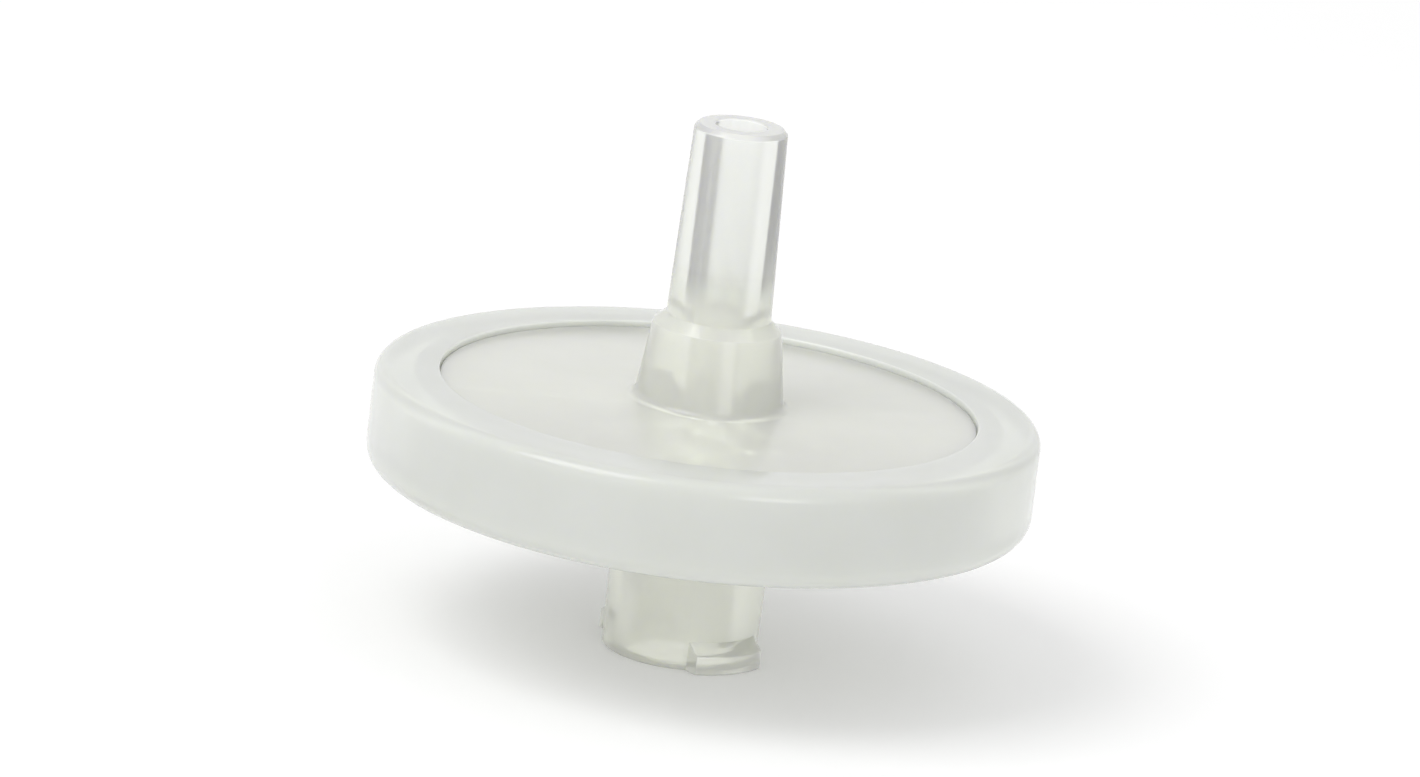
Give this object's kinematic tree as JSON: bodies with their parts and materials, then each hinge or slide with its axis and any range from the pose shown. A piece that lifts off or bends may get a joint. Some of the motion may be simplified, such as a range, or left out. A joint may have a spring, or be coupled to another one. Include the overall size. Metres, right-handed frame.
{
  "type": "syringe filter",
  "caption": "Round disposable filter with a male Luer slip outlet on one side, a female Luer lock inlet on the other and a membrane sealed between two shells by a moulded edge ring.",
  "frame": {"origin": "centre of the inlet's mouth face, on the axis", "axes": "+Z along the axis from the inlet to the outlet; the two inlet lugs point to 128 and 308 degrees from +X about +Z"},
  "size_m": [0.0285, 0.0284, 0.0231],
  "materials": {
    "polypropylene_shell": "natural translucent polypropylene, smooth moulded",
    "polypropylene_ring": "natural translucent polypropylene, smooth moulded",
    "nylon_membrane": "matt white microporous nylon"
  },
  "bodies": {
    "root": {"outlet_shell": "polypropylene_shell", "inlet_shell": "polypropylene_shell", "sealing_ring": "polypropylene_ring", "membrane": "nylon_membrane"}
  },
  "joints": []
}
